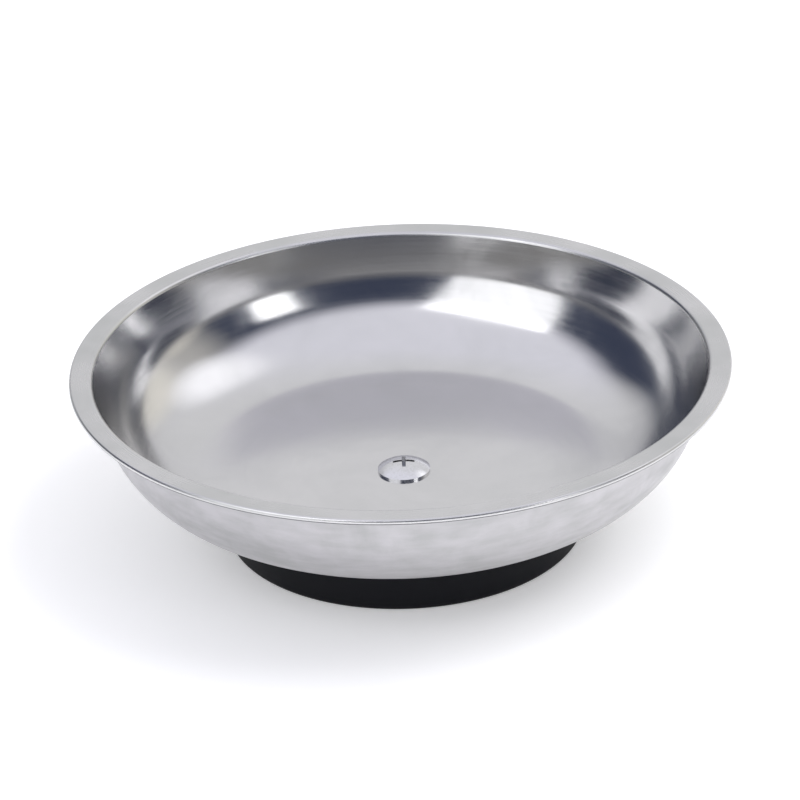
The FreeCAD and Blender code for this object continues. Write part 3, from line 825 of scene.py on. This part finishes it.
def softbox(name, target, azimuth, elevation, distance, width, height, brightness):
    """A rectangular area light facing a target, unseen by the camera itself."""
    lamp = bpy.data.lights.new(name, "AREA")
    lamp.shape = "RECTANGLE"
    lamp.size, lamp.size_y = width, height
    lamp.energy = brightness * math.pi * width * height
    made = bpy.data.objects.new(name, lamp)
    bpy.context.scene.collection.objects.link(made)
    made.location = target + distance * toward(azimuth, elevation)
    made.rotation_euler = (target - made.location).to_track_quat("-Z", "Y").to_euler()
    made.visible_camera = False
    return made


def card(tree, room, way, azimuth, elevation, core, edge, paint):
    """Puts a soft round patch of a colour on the room, its core and edge angles in degrees."""
    facing = add(tree, "VectorMath", {0: way, 1: toward(azimuth, elevation)}, operation="DOT_PRODUCT")
    faded, full = math.cos(math.radians(edge)), math.cos(math.radians(core))
    return blend(tree, ramp(tree, facing.outputs["Value"], faded, full), room, opaque(paint))


def studio_world(stage):
    """A soft studio that lights and shows in the steel. The camera itself sees plain white.

    Each card has its azimuth and elevation, the angles of its core and its edge, and its colour, and
    covers those before it.
    """
    cards = (
        (106, 22, 12, 28, stage.side_wall),
        (95, 0, 8, 18, stage.side_sill),
        (-150, 42, 8, 26, stage.left_screen),
        (180, 90, 44, 56, stage.ceiling),
        (165, 24, 20, 62, stage.backdrop),
        (124, 15, 9, 20, stage.warm_screen),
        (112, 44, 6, 20, stage.high_screen),
    )
    world = bpy.data.worlds.new("soft_studio")
    bpy.context.scene.world = world
    world.use_nodes = True
    tree = world.node_tree
    tree.nodes.clear()
    way = add(tree, "TexCoord").outputs["Generated"]
    split = add(tree, "SeparateXYZ", {"Vector": way}).outputs
    off_level = maths(tree, "ABSOLUTE", split["Z"])
    room = blend(tree, ramp(tree, off_level, 0.07, 0.2), opaque(stage.near_wall), opaque(stage.room))
    for placing in cards:
        room = card(tree, room, way, *placing)
    seen = add(tree, "LightPath").outputs["Is Camera Ray"]
    shown = blend(tree, seen, room, (1, 1, 1, 1))
    back = add(tree, "Background", {"Color": shown, "Strength": 1.0})
    add(tree, "OutputWorld", {"Surface": back.outputs[0]})


class TRAY_OT_stage(bpy.types.Operator):
    """Set the plain floor, the soft light and the camera"""

    bl_idname = "tray.stage"
    bl_label = "Stage"

    def execute(self, context):
        scene, stage = context.scene, context.scene.tray_stage
        floor = start("floor", bpy.ops.mesh.primitive_plane_add, size=stage.floor)
        bpy.ops.object.mode_set(mode="OBJECT")
        material, tree, shader = new_material("pale_floor", metallic=0.0, roughness=0.9)
        shader.inputs["Base Color"].default_value = opaque(stage.floor_paint)
        shader.inputs["Specular IOR Level"].default_value = 0.1
        shader.inputs["Emission Color"].default_value = (1, 1, 1, 1)
        shader.inputs["Emission Strength"].default_value = stage.floor_glow
        floor.data.materials.append(material)
        studio_world(stage)
        middle = Vector((0, 0, CAD_BOX[1].z))
        softbox("left_softbox", middle, azimuth=-45, elevation=30, distance=1.2,
                width=1.05, height=0.95, brightness=stage.left_key)
        softbox("right_softbox", middle, azimuth=52, elevation=20, distance=1.2,
                width=0.34, height=0.46, brightness=stage.right_key)
        floor_light = softbox("floor_light", middle, azimuth=85, elevation=58, distance=0.9,
                              width=0.6, height=0.6, brightness=stage.floor_fill)
        floor_light.visible_glossy = False

        camera_data = bpy.data.cameras.new("camera")
        camera_data.lens = stage.lens
        camera_data.clip_start, camera_data.clip_end = 0.05, 20
        camera = bpy.data.objects.new("camera", camera_data)
        scene.collection.objects.link(camera)
        out = Vector((0, -math.cos(stage.elevation), math.sin(stage.elevation)))
        camera.location = middle + stage.distance * out
        look = (middle + Vector(stage.aim) - camera.location).to_track_quat("-Z", "Y").to_matrix()
        camera.rotation_euler = (look @ Matrix.Rotation(-stage.roll, 3, "Z")).to_euler()
        scene.camera = camera
        scene.view_settings.view_transform = "Standard"
        return {"FINISHED"}


# ---------------------------------------------------------------- the panel and the run

OPERATORS = (TRAY_OT_dish, TRAY_OT_boot, TRAY_OT_magnet, TRAY_OT_plate, TRAY_OT_screw,
             TRAY_OT_nut_and_washers, TRAY_OT_stage)
SETTINGS = {
    "tray_dish": TrayDishSizes,
    "tray_boot": TrayBootSizes,
    "tray_magnet": TrayMagnetSizes,
    "tray_fasteners": TrayFastenerSizes,
    "tray_finishes": TrayFinishes,
    "tray_stage": TrayStage,
}


class TRAY_PT_panel(bpy.types.Panel):
    """Lists the tray's operators in the sidebar"""

    bl_idname = "TRAY_PT_panel"
    bl_label = "Parts tray"
    bl_space_type = "VIEW_3D"
    bl_region_type = "UI"
    bl_category = "Parts tray"

    def draw(self, context):
        for operator in OPERATORS:
            self.layout.operator(operator.bl_idname)


CLASSES = (*SETTINGS.values(), *OPERATORS, TRAY_PT_panel)


def register():
    """Registers the classes and hangs their settings on the scene."""
    for cls in CLASSES:
        bpy.utils.register_class(cls)
    for name, cls in SETTINGS.items():
        setattr(bpy.types.Scene, name, bpy.props.PointerProperty(type=cls))


def unregister():
    """Takes the settings and the classes away again."""
    for name in SETTINGS:
        delattr(bpy.types.Scene, name)
    for cls in reversed(CLASSES):
        bpy.utils.unregister_class(cls)


def main():
    """Makes the whole tray and its stage."""
    register()
    for operator in OPERATORS:
        group, name = operator.bl_idname.split(".")
        getattr(getattr(bpy.ops, group), name)()


if __name__ == "__main__":
    main()
